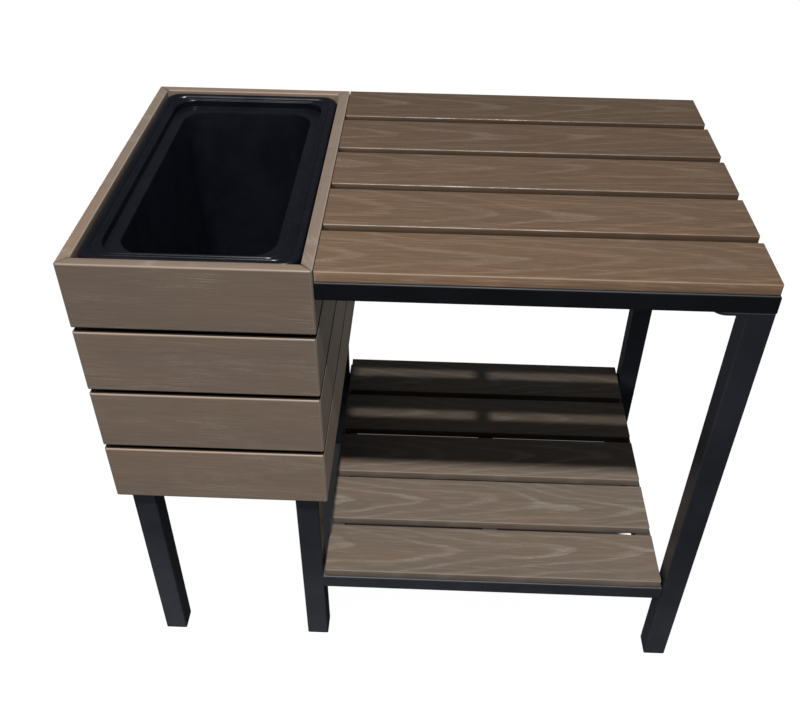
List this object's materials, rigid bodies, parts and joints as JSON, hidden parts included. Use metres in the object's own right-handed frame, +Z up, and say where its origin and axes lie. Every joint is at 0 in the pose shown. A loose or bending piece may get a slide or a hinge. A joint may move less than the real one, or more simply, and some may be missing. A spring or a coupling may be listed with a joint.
{
  "type": "potting bench",
  "caption": "Potting bench: slatted composite work top and lower shelf on a square steel tube frame, with a tall boarded planter box and its lift-out liner at one end.",
  "frame": {"origin": "on the floor, below the centre of the bench's bounding box", "axes": "+X from the planter towards the open end of the bench, +Y from front to back, +Z up"},
  "size_m": [1, 0.616, 0.865],
  "materials": {
    "composite_board": "matt wood-plastic composite, embossed grain",
    "coated_steel": "black powder coat, satin",
    "liner_plastic": "black moulded plastic, soft sheen",
    "plug_plastic": "black, matt",
    "zinc_screw": "zinc plated",
    "black_bolt": "black oxide"
  },
  "bodies": {
    "bench": {"planter_board_front_1": "composite_board", "planter_board_front_2": "composite_board", "planter_board_front_3": "composite_board", "planter_board_front_4": "composite_board", "planter_board_back_1": "composite_board", "planter_board_back_2": "composite_board", "planter_board_back_3": "composite_board", "planter_board_back_4": "composite_board", "planter_board_left_1": "composite_board", "planter_board_left_2": "composite_board", "planter_board_left_3": "composite_board", "planter_board_left_4": "composite_board", "planter_board_right_1": "composite_board", "planter_board_right_2": "composite_board", "planter_board_right_3": "composite_board", "planter_board_right_4": "composite_board", "top_slat_1": "composite_board", "top_slat_2": "composite_board", "top_slat_3": "composite_board", "top_slat_4": "composite_board", "top_slat_5": "composite_board", "shelf_slat_1": "composite_board", "shelf_slat_2": "composite_board", "shelf_slat_3": "composite_board", "shelf_slat_4": "composite_board", "shelf_slat_5": "composite_board", "planter_leg_front_left": "coated_steel", "planter_leg_front_right": "coated_steel", "planter_leg_back_left": "coated_steel", "planter_leg_back_right": "coated_steel", "planter_top_rail_front": "coated_steel", "planter_top_rail_back": "coated_steel", "planter_top_rail_left": "coated_steel", "planter_top_rail_right": "coated_steel", "planter_floor_rail_left": "coated_steel", "planter_floor_rail_right": "coated_steel", "planter_crossbar_front": "coated_steel", "planter_crossbar_back": "coated_steel", "top_rail_front": "coated_steel", "top_rail_back": "coated_steel", "top_rail_left": "coated_steel", "top_rail_right": "coated_steel", "top_rail_centre": "coated_steel", "bench_leg_front": "coated_steel", "bench_leg_back": "coated_steel", "leg_flange_front": "coated_steel", "leg_flange_back": "coated_steel", "shelf_rail_front": "coated_steel", "shelf_rail_back": "coated_steel", "shelf_rail_left": "coated_steel", "shelf_rail_right": "coated_steel", "shelf_rail_centre": "coated_steel", "shelf_brackets": "coated_steel", "leg_plugs": "plug_plastic", "slat_screws": "zinc_screw", "board_screws": "zinc_screw", "flange_bolts": "black_bolt", "bracket_bolts": "black_bolt"},
    "liner": {"planter_liner": "liner_plastic"}
  },
  "joints": [
    {"name": "liner_lift", "type": "slide", "parent": "bench", "child": "liner", "axis": [0, 0, 1], "range_m": [0, 0.45]}
  ]
}
